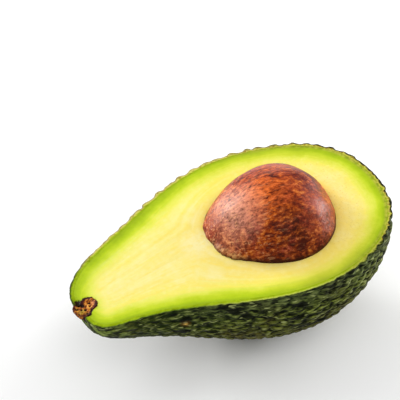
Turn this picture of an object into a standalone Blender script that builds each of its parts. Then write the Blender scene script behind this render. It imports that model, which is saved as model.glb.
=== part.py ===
"""Half a pebble-skinned avocado with its seed, cut lengthwise and lying on its back. Blender 4.5, metres.

The pieces are modelled in the fruit's own frame: X runs from the stem end to the blossom end, the knife's
cut is the plane Z = 0, and the fruit lies below it. A parent empty then tips and lifts them, so that the
finished half stands on a small flat spot of its peel, whose centre is the origin of the object.
"""

import math
import random

import bmesh
import bpy
import numpy as np
from mathutils import Matrix, Vector, noise
from mathutils.geometry import delaunay_2d_cdt

# The whole fruit is a pear shape turned about a gently bent centre line, whose neck end is bent a bit more.
STEM_END = -0.0008
BLOSSOM_END = 0.1050
RADIUS_TERMS = (0.0331, -0.0093, 0.0035, 0.0020, 0.0020)
CENTRE_START = 0.0007
CENTRE_FALL = 0.0009
CENTRE_SAG = 0.0038
CENTRE_SHIFT = 0.0010
CENTRE_CURL = 0.0038
NECK_RUN = 0.010
NECK_SHIFT = -0.0015
NECK_LIFT = 0.0012

# The peel, and the play that keeps neighbouring pieces apart.
PEEL_THICKNESS = 0.0013
GAP = 0.0003

# The pebbles of the peel: how far apart they sit, how high their tops and hollows are, and how uneven.
PEBBLE_PITCH = 0.0038
PEBBLE_TOP = 0.00045
PEBBLE_HOLLOW = -0.00035
PEBBLE_TOP_REACH = 0.24
PEBBLE_SHIFT = 0.14
PEBBLE_SPREAD = 0.4
PEBBLE_SEED = 11
SMOOTH_NECK = 0.012
NECK_RELIEF = 0.3
SMOOTH_BLOSSOM = 0.0015

# The seed is an egg whose pointed end faces the stem, sunk below the cut.
SEED_HALF_LENGTH = 0.0218
SEED_RADIUS = 0.0213
SEED_EGG = 0.17
SEED_CENTRE = Vector((0.0666, 0.0, -0.0069))
SEED_TURN = math.radians(-16.5)
SEED_RIDGE = 0.0003
SEED_RIDGES = 9
SEED_RIDGE_TWIST = 3.0

# The stem stub, given from its broken outer end to its rooted end as (distance, radius).
STEM_OUTLINE = (
    (0.0000, 0.0020),
    (0.0005, 0.0028),
    (0.0014, 0.0032),
    (0.0024, 0.0030),
    (0.0033, 0.0025),
    (0.0042, 0.0026),
    (0.0054, 0.0026),
    (0.0065, 0.0020),
    (0.0071, 0.0009),
)
STEM_TIP = Vector((-0.0002, -0.0023, 0.0))
STEM_TURN = math.radians(24.0)
STEM_LUMPS = 0.0005
STEM_LUMP_SIZE = 0.0013
DIMPLE_DEPTH = 0.0016
DIMPLE_RADIUS = 0.0045

# How the half lies: the cut face slopes down to the stem, and the peel's lowest spot is pressed flat.
REST_SLOPE = math.radians(5.3)
SPOT_SAG = 0.0005

# Plain colours, and the size and low corners of the blocks that cut at the knife's plane and at the floor.
PEEL_COLOUR = (0.035, 0.075, 0.022)
FLESH_COLOUR = (0.86, 0.78, 0.30)
SEED_COLOUR = (0.30, 0.090, 0.035)
STEM_COLOUR = (0.30, 0.16, 0.055)
BLOCK = Vector((0.16, 0.12, 0.06))
KNIFE_CORNER = Vector((-0.03, -0.06, 0.0))
FLOOR_CORNER = Vector((-0.08, -0.06, -BLOCK.z))

LENGTH = BLOSSOM_END - STEM_END
SAMPLES = 1441
FRUIT_SEGMENTS = 36
FRUIT_RINGS = 36
SEED_SEGMENTS = 30
SEED_RINGS = 20
STEM_SEGMENTS = 20
GOLDEN_ANGLE = math.pi * (3.0 - math.sqrt(5.0))


def outline_tables():
    """The turned outline, sampled from stem to blossom, with its outward normal, skin area and stretch.

    Stretch and the angle around the fruit are the polar coordinates of a flat map of its skin that keeps
    angles: a point lies at distance exp(-stretch) from the map's middle, which is the blossom end.
    """
    turn = np.linspace(0.0, math.pi, SAMPLES)
    along = STEM_END + LENGTH * (1.0 - np.cos(turn)) / 2.0
    radius = np.sin(turn) * sum(term * np.cos(k * turn) for k, term in enumerate(RADIUS_TERMS))
    step_along = np.gradient(along)
    step_radius = np.gradient(radius)
    step_length = np.hypot(step_along, step_radius)
    stretch = np.cumsum(step_length / np.maximum(radius, radius[1]))
    return {
        "turn": turn,
        "along": along,
        "radius": radius,
        "normal_along": -step_radius / step_length,
        "normal_radius": step_along / step_length,
        "stretch": stretch - stretch[int(np.argmax(radius))],
        "area": np.cumsum(2.0 * math.pi * radius * step_length),
    }


OUTLINE = outline_tables()


def look_up(given, value, wanted):
    """Reads one column of the outline's tables where another column has a value."""
    return float(np.interp(value, OUTLINE[given], OUTLINE[wanted]))


def centre_line(along):
    """The bent centre line's (y, z) at a distance along the fruit."""
    share = (along - STEM_END) / LENGTH
    neck = math.exp(-((along / NECK_RUN) ** 2))
    side = 4.0 * share * (1.0 - share) * (CENTRE_SHIFT + CENTRE_CURL * (1.0 - 2.0 * share))
    height = CENTRE_START - CENTRE_FALL * share - CENTRE_SAG * math.sin(math.pi * share)
    return side + NECK_SHIFT * neck, height + NECK_LIFT * neck


def fruit_point(turn, around, outward):
    """A point of the fruit's skin, moved outward along the normal; turn runs from 0 at the stem to pi."""
    along = look_up("turn", turn, "along")
    side, height = centre_line(along)
    reach = look_up("turn", turn, "radius") + outward * look_up("turn", turn, "normal_radius")
    point = Vector((
        along + outward * look_up("turn", turn, "normal_along"),
        side + reach * math.cos(around),
        height + reach * math.sin(around),
    ))
    if along < LENGTH / 2.0:
        off_stem = math.hypot(point.y - STEM_TIP.y, point.z - STEM_TIP.z)
        point.x += DIMPLE_DEPTH * math.exp(-((off_stem / DIMPLE_RADIUS) ** 2))
    return point


def smooth_step(value, low, high):
    share = max(0.0, min(1.0, (value - low) / (high - low)))
    return share * share * (3.0 - 2.0 * share)


def face_outward(bm):
    bm.normal_update()
    bmesh.ops.recalc_face_normals(bm, faces=bm.faces)


def joined(points):
    """The triangles, as triples of indices, that join the points of a flat map to their neighbours."""
    _, _, faces, sources, _, _ = delaunay_2d_cdt(points, [], [], 0, 0.0)
    return [[sources[k][0] for k in face] for face in faces]


def pebble_points():
    """The pebbled skin on its flat map: three corners for each pebble's top, then the hollows in between.

    Returns each point's place on the map and its height, from 0 in a hollow to 1 on the tallest top.
    """
    rng = random.Random(PEBBLE_SEED)
    whole = OUTLINE["area"][-1]
    count = round(whole / (math.sqrt(0.75) * PEBBLE_PITCH**2))
    centres = []
    corners = []
    heights = []
    for i in range(count):
        area = whole * (i + 0.5) / count
        around = i * GOLDEN_ANGLE
        reach = math.exp(-look_up("area", area, "stretch"))
        pitch = PEBBLE_PITCH * reach / look_up("area", area, "radius")
        shift = Vector((rng.uniform(-1.0, 1.0), rng.uniform(-1.0, 1.0))) * PEBBLE_SHIFT * pitch
        centre = Vector((math.cos(around), math.sin(around))) * reach + shift
        centres.append(centre)
        height = 1.0 - PEBBLE_SPREAD * rng.random()
        spin = rng.uniform(0.0, 2.0 * math.pi)
        for k in range(3):
            angle = spin + 2.0 * math.pi * k / 3.0
            corners.append(centre + Vector((math.cos(angle), math.sin(angle))) * PEBBLE_TOP_REACH * pitch)
            heights.append(height)
    hollows = [sum((centres[k] for k in face), Vector((0.0, 0.0))) / 3.0 for face in joined(centres)]
    return corners + hollows, heights + [0.0] * len(hollows)


def pebbled_skin():
    """The whole fruit's outside, with its pebbles standing out of it."""
    points, heights = pebble_points()
    bm = bmesh.new()
    verts = []
    for point, height in zip(points, heights):
        turn = look_up("stretch", -math.log(point.length), "turn")
        around = math.atan2(point.y, point.x)
        base = fruit_point(turn, around, 0.0)
        fade = NECK_RELIEF + (1.0 - NECK_RELIEF) * smooth_step(base.x, STEM_END, SMOOTH_NECK)
        fade *= smooth_step(BLOSSOM_END - base.x, 0.0, SMOOTH_BLOSSOM)
        outward = PEBBLE_HOLLOW + (PEBBLE_TOP - PEBBLE_HOLLOW) * height
        verts.append(bm.verts.new(fruit_point(turn, around, outward * fade)))
    for face in joined(points):
        bm.faces.new([verts[k] for k in face])
    stem_hole = [edge for edge in bm.edges if edge.is_boundary]
    cap = bmesh.ops.contextual_create(bm, geom=stem_hole)["faces"]
    bmesh.ops.poke(bm, faces=cap)
    face_outward(bm)
    return bm


def fruit_solid(outward):
    """The whole fruit as a smooth solid, with its surface moved outward by a distance."""
    bm = bmesh.new()
    bmesh.ops.create_uvsphere(bm, u_segments=FRUIT_SEGMENTS, v_segments=FRUIT_RINGS, radius=1.0)
    for vert in bm.verts:
        direction = vert.co.normalized()
        vert.co = fruit_point(math.acos(direction.z), math.atan2(direction.y, direction.x), outward)
    face_outward(bm)
    return bm


def seed_solid(outward, ridge):
    """The seed's egg about its own centre, moved outward, with long shallow furrows as deep as ridge."""
    bm = bmesh.new()
    bmesh.ops.create_uvsphere(bm, u_segments=SEED_SEGMENTS, v_segments=SEED_RINGS, radius=1.0)
    for vert in bm.verts:
        direction = vert.co.normalized()
        around = math.atan2(direction.y, direction.x)
        egg = 1.0 + SEED_EGG * direction.z
        furrow = ridge * (0.5 - 0.5 * math.sin(SEED_RIDGES * around + SEED_RIDGE_TWIST * direction.z))
        point = Vector((
            SEED_HALF_LENGTH * direction.z,
            SEED_RADIUS * egg * direction.x,
            SEED_RADIUS * egg * direction.y,
        ))
        vert.co = point + Vector((direction.z, direction.x, direction.y)) * (outward - furrow)
    face_outward(bm)
    return bm


def stem_solid(outward, lumps):
    """The stub turned from its outline, lengthened and widened by outward, with a lumpy woody surface."""
    bm = bmesh.new()
    length = STEM_OUTLINE[-1][0]
    rings = []
    for distance, radius in STEM_OUTLINE:
        ring = []
        for k in range(STEM_SEGMENTS):
            around = 2.0 * math.pi * (k + 0.5) / STEM_SEGMENTS
            spot = Vector((distance, radius * math.cos(around), radius * math.sin(around)))
            lump = lumps * (noise.noise(spot / STEM_LUMP_SIZE) - 1.0) / 2.0
            reach = radius + outward + lump
            lengthened = distance + outward * (2.0 * distance / length - 1.0)
            ring.append(bm.verts.new((lengthened, reach * math.cos(around), reach * math.sin(around))))
        rings.append(ring)
    for one, two in zip(rings, rings[1:]):
        for k in range(STEM_SEGMENTS):
            after = (k + 1) % STEM_SEGMENTS
            bm.faces.new((one[k], two[k], two[after], one[after]))
    bmesh.ops.poke(bm, faces=[bm.faces.new(rings[0]), bm.faces.new(rings[-1])])
    face_outward(bm)
    return bm


def block(low_corner):
    bm = bmesh.new()
    bmesh.ops.create_cube(bm, size=1.0)
    for vert in bm.verts:
        vert.co = low_corner + BLOCK * 0.5 + vert.co * BLOCK
    return bm


def add_object(name, bm, parent=None, location=(0.0, 0.0, 0.0), turn=0.0):
    """A new object from a bmesh, placed by its location and a turn about Z in its parent's frame."""
    mesh = bpy.data.meshes.new(name)
    bm.to_mesh(mesh)
    bm.free()
    obj = bpy.data.objects.new(name, mesh)
    obj.location = location
    obj.rotation_euler.z = turn
    obj.parent = parent
    bpy.context.scene.collection.objects.link(obj)
    return obj


def as_cutter(obj):
    obj.hide_render = True
    obj.display_type = "WIRE"
    return obj


def cut(obj, *cutters):
    for cutter in cutters:
        modifier = obj.modifiers.new(cutter.name, "BOOLEAN")
        modifier.operation = "DIFFERENCE"
        modifier.object = cutter


def paint(obj, colour, roughness):
    """Gives the object its own plain Principled material, and smooth shading."""
    material = bpy.data.materials.new(obj.name)
    material.use_nodes = True
    shader = material.node_tree.nodes["Principled BSDF"]
    shader.inputs["Base Color"].default_value = (*colour, 1.0)
    shader.inputs["Roughness"].default_value = roughness
    shader.inputs["Metallic"].default_value = 0.0
    material.diffuse_color = (*colour, 1.0)
    obj.data.materials.append(material)
    obj.data.shade_smooth()


def resting_place():
    """The matrix that tips the fruit's frame by the rest slope and puts its pressed spot at the origin."""
    tip = Matrix.Rotation(-REST_SLOPE, 4, "Y")
    skin = fruit_solid(0.0)
    lowest = min((tip @ vert.co for vert in skin.verts), key=lambda point: point.z)
    skin.free()
    spot = Vector((lowest.x, lowest.y, lowest.z + SPOT_SAG))
    return Matrix.Translation(-spot) @ tip


def build():
    for obj in list(bpy.data.objects):
        bpy.data.objects.remove(obj)

    half = bpy.data.objects.new("avocado_half", None)
    half.matrix_world = resting_place()
    bpy.context.scene.collection.objects.link(half)

    knife = as_cutter(add_object("knife_cut", block(KNIFE_CORNER), half))
    floor = as_cutter(add_object("floor_cut", block(FLOOR_CORNER)))
    peel_inside = as_cutter(add_object("peel_inside", fruit_solid(-PEEL_THICKNESS), half))
    seed_hollow = as_cutter(add_object("seed_hollow", seed_solid(GAP, 0.0), half, SEED_CENTRE, SEED_TURN))
    stem_socket = as_cutter(add_object("stem_socket", stem_solid(GAP, 0.0), half, STEM_TIP, STEM_TURN))

    peel = add_object("peel", pebbled_skin(), half)
    cut(peel, peel_inside, stem_socket, knife, floor)
    paint(peel, PEEL_COLOUR, roughness=0.45)

    flesh = add_object("flesh", fruit_solid(-PEEL_THICKNESS - GAP), half)
    cut(flesh, seed_hollow, stem_socket, knife)
    paint(flesh, FLESH_COLOUR, roughness=0.42)

    seed = add_object("seed", seed_solid(0.0, SEED_RIDGE), half, SEED_CENTRE, SEED_TURN)
    paint(seed, SEED_COLOUR, roughness=0.40)

    stem = add_object("stem", stem_solid(0.0, STEM_LUMPS), half, STEM_TIP, STEM_TURN)
    cut(stem, knife)
    paint(stem, STEM_COLOUR, roughness=0.75)


build()
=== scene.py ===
"""Half a pebble-skinned avocado with its seed: its looks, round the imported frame. Blender 4.5, metres.

The fine pieces are made in the fruit's own frame, as the solids are: X runs from the stem end to the
blossom end, the knife's cut is the plane Z = 0, and the fruit lies below it. Each mesh is then moved to
where the half rests. The first named values repeat the form that the solids have.
"""

import math
import random

import bmesh
import bpy
import numpy as np
from mathutils import Matrix, Vector, kdtree, noise
from mathutils.geometry import delaunay_2d_cdt


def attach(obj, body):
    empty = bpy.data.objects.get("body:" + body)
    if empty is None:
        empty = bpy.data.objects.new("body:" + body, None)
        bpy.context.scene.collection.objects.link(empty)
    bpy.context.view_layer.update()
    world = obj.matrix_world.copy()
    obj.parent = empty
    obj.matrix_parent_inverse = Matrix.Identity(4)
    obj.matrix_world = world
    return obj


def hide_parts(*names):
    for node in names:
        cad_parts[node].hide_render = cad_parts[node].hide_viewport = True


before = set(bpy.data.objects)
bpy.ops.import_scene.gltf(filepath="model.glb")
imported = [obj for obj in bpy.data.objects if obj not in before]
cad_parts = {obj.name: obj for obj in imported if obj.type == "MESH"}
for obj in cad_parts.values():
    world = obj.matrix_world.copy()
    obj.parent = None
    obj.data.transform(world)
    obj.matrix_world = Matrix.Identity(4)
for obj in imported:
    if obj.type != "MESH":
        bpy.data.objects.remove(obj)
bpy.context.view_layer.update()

# The whole fruit is a pear shape turned about a gently bent centre line, whose neck end is bent a bit more.
STEM_END = -0.0008
BLOSSOM_END = 0.105
RADIUS_TERMS = (0.0331, -0.0093, 0.0035, 0.0020, 0.0020)
CENTRE_START = 0.0007
CENTRE_FALL = 0.0009
CENTRE_SAG = 0.0038
CENTRE_SHIFT = 0.001
CENTRE_CURL = 0.0038
NECK_RUN = 0.01
NECK_SHIFT = -0.0015
NECK_LIFT = 0.0012
PEEL_THICKNESS = 0.0013
GAP = 0.0003

# The pebbles of the peel.
PEBBLE_PITCH = 0.0038
PEBBLE_TOP = 0.00045
PEBBLE_HOLLOW = -0.00035
PEBBLE_TOP_REACH = 0.24
PEBBLE_SHIFT = 0.14
PEBBLE_SPREAD = 0.4
PEBBLE_SEED = 11
SMOOTH_NECK = 0.012
NECK_RELIEF = 0.3
SMOOTH_BLOSSOM = 0.0015

# The seed, an egg whose pointed end faces the stem.
SEED_HALF_LENGTH = 0.0218
SEED_RADIUS = 0.0213
SEED_EGG = 0.17
SEED_CENTRE = Vector((0.0666, 0.0, -0.0069))
SEED_TURN = math.radians(-16.5)
SEED_RIDGE = 0.0003
SEED_RIDGES = 9
SEED_RIDGE_TWIST = 3.0

# The stem stub, from its broken outer end to its rooted end as (distance, radius).
STEM_OUTLINE = (
    (0.0000, 0.0020),
    (0.0005, 0.0028),
    (0.0014, 0.0032),
    (0.0024, 0.0030),
    (0.0033, 0.0025),
    (0.0042, 0.0026),
    (0.0054, 0.0026),
    (0.0065, 0.0020),
    (0.0071, 0.0009),
)
STEM_TIP = Vector((-0.0002, -0.0023, 0.0))
STEM_TURN = math.radians(24.0)
DIMPLE_DEPTH = 0.0016
DIMPLE_RADIUS = 0.0045

# How the half lies.
REST_SLOPE = math.radians(5.3)
SPOT_SAG = 0.0005
SPOT_SEGMENTS = 36

# How fine the pieces are.
SKIN_STEP = 0.00043
FACE_STEP = 0.00062
HIDDEN_COLUMNS = 14
BAND_SHARES = (0.05, 0.12, 0.24, 0.45, 0.72, 0.92)
SHARP_ANGLE = math.radians(50.0)
HOLLOW_SEGMENTS = 240
HOLLOW_RINGS = 24
HOLLOW_HALVINGS = 30
SEED_SEGMENTS = 240
SEED_ROWS = 160

# The camera, and the picture's even field of view.
CAMERA_PLACE = Vector((-0.1842, -0.2928, 0.3373))
CAMERA_AZIMUTH = math.radians(29.03)
CAMERA_TILT = math.radians(40.22)
CAMERA_ROLL = math.radians(-0.93)
CAMERA_LENS = 133.56
SENSOR_WIDTH = 36.0
CLIP_START = 0.01

LENGTH = BLOSSOM_END - STEM_END
SAMPLES = 1441
GOLDEN_ANGLE = math.pi * (3.0 - math.sqrt(5.0))


# Form of the fruit

def outline_tables():
    """The turned outline, sampled from stem to blossom, with its outward normal, skin area and stretch.

    Stretch and the angle around the fruit are the polar coordinates of a flat map of its skin that keeps
    angles: a point lies at distance exp(-stretch) from the map's middle, which is the blossom end.
    """
    turn = np.linspace(0.0, math.pi, SAMPLES)
    along = STEM_END + LENGTH * (1.0 - np.cos(turn)) / 2.0
    radius = np.sin(turn) * sum(term * np.cos(k * turn) for k, term in enumerate(RADIUS_TERMS))
    step_along = np.gradient(along)
    step_radius = np.gradient(radius)
    step_length = np.hypot(step_along, step_radius)
    stretch = np.cumsum(step_length / np.maximum(radius, radius[1]))
    return {
        "turn": turn,
        "along": along,
        "radius": radius,
        "normal_along": -step_radius / step_length,
        "normal_radius": step_along / step_length,
        "stretch": stretch - stretch[int(np.argmax(radius))],
        "area": np.cumsum(2.0 * math.pi * radius * step_length),
        "run": np.cumsum(step_length),
    }


OUTLINE = outline_tables()


def look_up(given, values, wanted):
    """Reads one column of the outline's tables where another column has the values."""
    return np.interp(values, OUTLINE[given], OUTLINE[wanted])


def centre_line(along):
    """The bent centre line's (y, z) at distances along the fruit."""
    share = (along - STEM_END) / LENGTH
    neck = np.exp(-((along / NECK_RUN) ** 2))
    side = 4.0 * share * (1.0 - share) * (CENTRE_SHIFT + CENTRE_CURL * (1.0 - 2.0 * share))
    height = CENTRE_START - CENTRE_FALL * share - CENTRE_SAG * np.sin(math.pi * share)
    return side + NECK_SHIFT * neck, height + NECK_LIFT * neck


def fruit_points(turn, around, outward):
    """Points of the fruit's skin, moved outward along the normal, as rows of an array."""
    along = look_up("turn", turn, "along")
    side, height = centre_line(along)
    reach = look_up("turn", turn, "radius") + outward * look_up("turn", turn, "normal_radius")
    x = along + outward * look_up("turn", turn, "normal_along")
    y = side + reach * np.cos(around)
    z = height + reach * np.sin(around)
    off_stem = np.hypot(y - STEM_TIP.y, z - STEM_TIP.z)
    dimple = DIMPLE_DEPTH * np.exp(-((off_stem / DIMPLE_RADIUS) ** 2))
    x = x + np.where(along < LENGTH / 2.0, dimple, 0.0)
    return np.stack([x, y, z], axis=1)


def smooth_step(values, low, high):
    share = np.clip((values - low) / (high - low), 0.0, 1.0)
    return share * share * (3.0 - 2.0 * share)


def resting_place():
    """The matrix that tips the fruit's frame by the rest slope and puts its pressed spot at the origin."""
    tip = Matrix.Rotation(-REST_SLOPE, 4, "Y")
    rings = np.linspace(0.0, math.pi, SPOT_SEGMENTS + 1)
    sides = np.linspace(0.0, 2.0 * math.pi, SPOT_SEGMENTS + 1)
    turn, around = [grid.ravel() for grid in np.meshgrid(rings, sides)]
    lowest = min((tip @ Vector(point) for point in fruit_points(turn, around, 0.0)), key=lambda p: p.z)
    spot = Vector((lowest.x, lowest.y, lowest.z + SPOT_SAG))
    return Matrix.Translation(-spot) @ tip


RESTING = resting_place()
STEM_PLACE = Matrix.Translation(STEM_TIP) @ Matrix.Rotation(STEM_TURN, 4, "Z")
SEED_PLACE = Matrix.Translation(SEED_CENTRE) @ Matrix.Rotation(SEED_TURN, 4, "Z")


def moved(points, matrix):
    """An array of points carried by a matrix."""
    turned = np.array(matrix.to_3x3())
    return points @ turned.T + np.array(matrix.to_translation())


# Meshes

def zipped(one, two):
    """Triangles that join two rows of points, which may hold different numbers of them."""
    faces = []
    i = j = 0
    while i < len(one) - 1 or j < len(two) - 1:
        next_one = (i + 1) / (len(one) - 1) if i < len(one) - 1 else math.inf
        next_two = (j + 1) / (len(two) - 1) if j < len(two) - 1 else math.inf
        if next_one <= next_two:
            faces.append((one[i], two[j], one[i + 1]))
            i += 1
        else:
            faces.append((one[i], two[j], two[j + 1]))
            j += 1
    return faces


def sheet(rows):
    """Triangles between each row of points and the next."""
    return [face for one, two in zip(rows, rows[1:]) for face in zipped(one, two)]


def new_object(name, data):
    made = bpy.data.objects.new(name, data)
    bpy.context.scene.collection.objects.link(made)
    return made


def make_piece(node, points, faces, fields):
    """A smooth closed piece in the fruit's frame that stands for a node; it rides on the one body.

    Each field is a number or a vector for every point, which the materials read by its name.
    """
    name = node + "_fine"
    mesh = bpy.data.meshes.new(name)
    mesh.from_pydata([tuple(p) for p in points], [], faces)
    for label, values in fields.items():
        values = np.asarray(values, np.float32)
        kind, column = ("FLOAT", "value") if values.ndim == 1 else ("FLOAT_VECTOR", "vector")
        mesh.attributes.new(label, kind, "POINT").data.foreach_set(column, values.ravel())
    bm = bmesh.new()
    bm.from_mesh(mesh)
    bm.normal_update()
    bmesh.ops.recalc_face_normals(bm, faces=bm.faces)
    bm.to_mesh(mesh)
    bm.free()
    mesh.transform(RESTING)
    for vert in mesh.vertices:
        if vert.co.z < 0.0:
            vert.co.z = 0.0
    mesh.shade_smooth()
    mesh.set_sharp_from_angle(angle=SHARP_ANGLE)
    piece = new_object(name, mesh)
    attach(piece, "root")
    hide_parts(node)
    return piece


def half_rows(step):
    """The half's skin as rows from stem to blossom, each an angle at the stem and angles around it."""
    along = OUTLINE["along"]
    height = centre_line(along)[1]
    first = int(np.argmax(OUTLINE["radius"] > height))
    start = OUTLINE["run"][first]
    run = np.linspace(start, OUTLINE["run"][-1], int((OUTLINE["run"][-1] - start) / step))
    rows = []
    for turn in np.interp(run, OUTLINE["run"], OUTLINE["turn"]):
        radius = float(look_up("turn", turn, "radius"))
        lift = float(centre_line(look_up("turn", turn, "along"))[1])
        rim = math.asin(max(-1.0, min(1.0, -lift / max(radius, 1e-9))))
        count = max(3, round(radius * (math.pi + 2.0 * rim) / step))
        rows.append((turn, np.linspace(-math.pi - rim, rim, count)))
    for end in (0, -1):
        rows[end] = (rows[end][0], np.array([-math.pi / 2.0]))
    return rows


def laid_out(rows):
    """The rows as two flat arrays and, for each row, the indices of its points."""
    turns = np.concatenate([np.full(len(around), turn) for turn, around in rows])
    around = np.concatenate([around for _, around in rows])
    ends = np.cumsum([len(around) for _, around in rows])
    return turns, around, [list(range(end - len(row[1]), end)) for end, row in zip(ends, rows)]


def thinned(rows):
    """The same rows with fewer points in each, for surfaces that stay hidden."""
    return [(turn, np.linspace(angles[0], angles[-1], min(len(angles), HIDDEN_COLUMNS)))
            for turn, angles in rows]


def cut_ends(indices):
    """The two points of each row that lie on the cut."""
    return [row[0] for row in indices], [row[-1] for row in indices]


# The peel

def pebble_points():
    """Each pebble's three top corners and the hollows between pebbles, as on the solid peel.

    Returns the points on the flat map with their heights from 0 to 1, and the pebbles' centres.
    """
    rng = random.Random(PEBBLE_SEED)
    whole = OUTLINE["area"][-1]
    count = round(whole / (math.sqrt(0.75) * PEBBLE_PITCH**2))
    centres = []
    corners = []
    heights = []
    for i in range(count):
        area = whole * (i + 0.5) / count
        around = i * GOLDEN_ANGLE
        reach = math.exp(-look_up("area", area, "stretch"))
        pitch = PEBBLE_PITCH * reach / float(look_up("area", area, "radius"))
        shift = Vector((rng.uniform(-1.0, 1.0), rng.uniform(-1.0, 1.0))) * PEBBLE_SHIFT * pitch
        centre = Vector((math.cos(around), math.sin(around))) * reach + shift
        centres.append(centre)
        height = 1.0 - PEBBLE_SPREAD * rng.random()
        spin = rng.uniform(0.0, 2.0 * math.pi)
        for k in range(3):
            angle = spin + 2.0 * math.pi * k / 3.0
            corners.append(centre + Vector((math.cos(angle), math.sin(angle))) * PEBBLE_TOP_REACH * pitch)
            heights.append(height)
    _, _, faces, sources, _, _ = delaunay_2d_cdt(centres, [], [], 0, 0.0)
    hollows = [sum((centres[sources[k][0]] for k in face), Vector((0.0, 0.0))) / 3.0 for face in faces]
    return corners + hollows, heights + [0.0] * len(hollows), centres


def tree_of(points):
    tree = kdtree.KDTree(len(points))
    for k, point in enumerate(points):
        tree.insert(Vector((*point, 0.0)[:3]), k)
    tree.balance()
    return tree


# How the pebbles are blended, and the size of the painted highlight on each pebble's tip.
RELIEF_NEAR = 7
RELIEF_BLUR = 0.23
TIP_HIGHLIGHT_SIZE = 0.13


def pebble_relief(turns, around):
    """The pebbles' height from 0 to 1 at points of the skin, and how near each is to a pebble's tip, where
    the skin paints a highlight.
    """
    points, heights, centres = pebble_points()
    form = tree_of(points)
    tips = tree_of(centres)
    reach = np.exp(-look_up("turn", turns, "stretch"))
    pitch = PEBBLE_PITCH * reach / np.maximum(look_up("turn", turns, "radius"), 1e-6)
    rng = random.Random(PEBBLE_SEED)
    strength = [rng.random() for _ in centres]
    relief = np.zeros(len(turns))
    tip = np.zeros(len(turns))
    for k, (x, y, size) in enumerate(zip(reach * np.cos(around), reach * np.sin(around), pitch)):
        place = Vector((x, y, 0.0))
        total = 0.0
        height = 0.0
        for _, index, distance in form.find_n(place, RELIEF_NEAR):
            weight = math.exp(-((distance / size / RELIEF_BLUR) ** 2)) + 1e-12
            total += weight
            height += weight * heights[index]
        relief[k] = height / total
        _, index, distance = tips.find(place)
        tip[k] = strength[index] * math.exp(-((distance / size / TIP_HIGHLIGHT_SIZE) ** 2))
    return relief, tip


# How the pebbles are calmed at the neck and the near side and made bolder at the rim, and the finest grain.
CALM_RUN = (0.082, 0.064)
CALM_DEPTH = 0.0022
CALM_SHARE = 0.7
CALM_RELIEF = 0.55
CALM_NECK_RUN = (0.03, 0.01)
CALM_NECK_SHARE = 0.55
NEAR_SIDE = (0.002, -0.006)
BOLD_RIM = 0.55
BOLD_DEPTH = 0.0025
BOLD_RUN = (0.055, 0.078)
BOLD_FAR = 0.008
BOLD_FAR_SHARE = 0.5
SKIN_GRAIN = 0.0009
SKIN_GRAIN_DEPTH = 0.00011
BAND_GRAIN = 0.001
BAND_GRAIN_DEPTH = 0.00006
# How far the painted shadow round the stem's socket reaches.
SOCKET_SHADOW_REACH = 0.0005
CUT_REACH = 0.0002

# Each small torn notch beside the stub as (along, across, size, depth).
NOTCHES = (
    (0.0015, 0.0020, 0.0009, 0.0008),
    (0.0003, -0.0062, 0.0006, 0.0005),
    (0.0021, 0.0009, 0.0005, 0.0004),
)


def grain(points, size):
    """Smooth noise from about -1 to 1 at an array of points."""
    return np.array([noise.noise(Vector(point) / size) for point in points])


def beside_stub(points, beyond):
    """Points in the stub's own frame, and its radius beside each or the given number beyond its ends."""
    place = moved(points, STEM_PLACE.inverted())
    reaches, radii = zip(*STEM_OUTLINE)
    return place, np.interp(place[:, 0], reaches, radii, left=beyond, right=beyond)


def socket_depth(points):
    """How deep the stem's socket goes below the cut at points near it."""
    place, radius = beside_stub(points, 0.0)
    return np.sqrt(np.maximum(0.0, np.maximum(radius - GAP, 0.0) ** 2 - place[:, 1] ** 2))


def socket_shadow(points):
    """1 in the stem's socket, falling to 0 just beside it: where a shadow round the stub is painted."""
    place, radius = beside_stub(points, -1.0)
    return 1.0 - smooth_step(np.hypot(place[:, 1], place[:, 2]) - radius, 0.0, SOCKET_SHADOW_REACH)


def notch_depth(points):
    """How deep the small torn notches beside the stub go below the cut."""
    depth = np.zeros(len(points))
    for along, across, size, deepest in NOTCHES:
        off = np.hypot(points[:, 0] - along, points[:, 1] - across)
        depth += deepest * np.exp(-((off / size) ** 2))
    return depth


def skin_rise(base, relief, fade):
    """How far each point of the skin stands out from the plain form."""
    near = smooth_step(base[:, 1], *NEAR_SIDE)
    near *= smooth_step(base[:, 0], *CALM_RUN)
    calm = np.exp(-((base[:, 2] / CALM_DEPTH) ** 2)) * near
    neck = smooth_step(base[:, 0], *CALM_NECK_RUN)
    calm = np.maximum(CALM_SHARE * calm, CALM_NECK_SHARE * neck)
    calmed = relief + (CALM_RELIEF - relief) * calm
    outward = fade * (PEBBLE_HOLLOW + (PEBBLE_TOP - PEBBLE_HOLLOW) * calmed)
    blossom = smooth_step(base[:, 0], *BOLD_RUN)
    far = smooth_step(base[:, 1], 0.0, BOLD_FAR)
    bold = np.exp(-((base[:, 2] / BOLD_DEPTH) ** 2)) * np.maximum(blossom, BOLD_FAR_SHARE * far)
    outward *= 1.0 + BOLD_RIM * bold
    return outward + SKIN_GRAIN_DEPTH * grain(base, SKIN_GRAIN)


def cut_band(points, outer, inner):
    """The peel's cut edge: its new points, the share of the way inward that each has, and its triangles."""
    band = []
    shares = []
    sides = []
    for outside, inside in zip(cut_ends(outer), cut_ends(inner)):
        strips = []
        for a, b in zip(outside, inside):
            if sides and a in (outside[0], outside[-1]):
                strips.append(sides[0][0 if a == outside[0] else -1])
                continue
            strip = [a]
            for share in BAND_SHARES:
                strip.append(len(points) + len(band))
                band.append(points[a] * (1.0 - share) + points[b] * share)
                shares.append(share)
            strips.append(strip + [b])
        sides.append(strips)
    band = np.array(band)
    band[:, 2] = BAND_GRAIN_DEPTH * grain(band, BAND_GRAIN)
    return band, shares, sheet(sides[0]) + sheet(sides[1])


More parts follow.
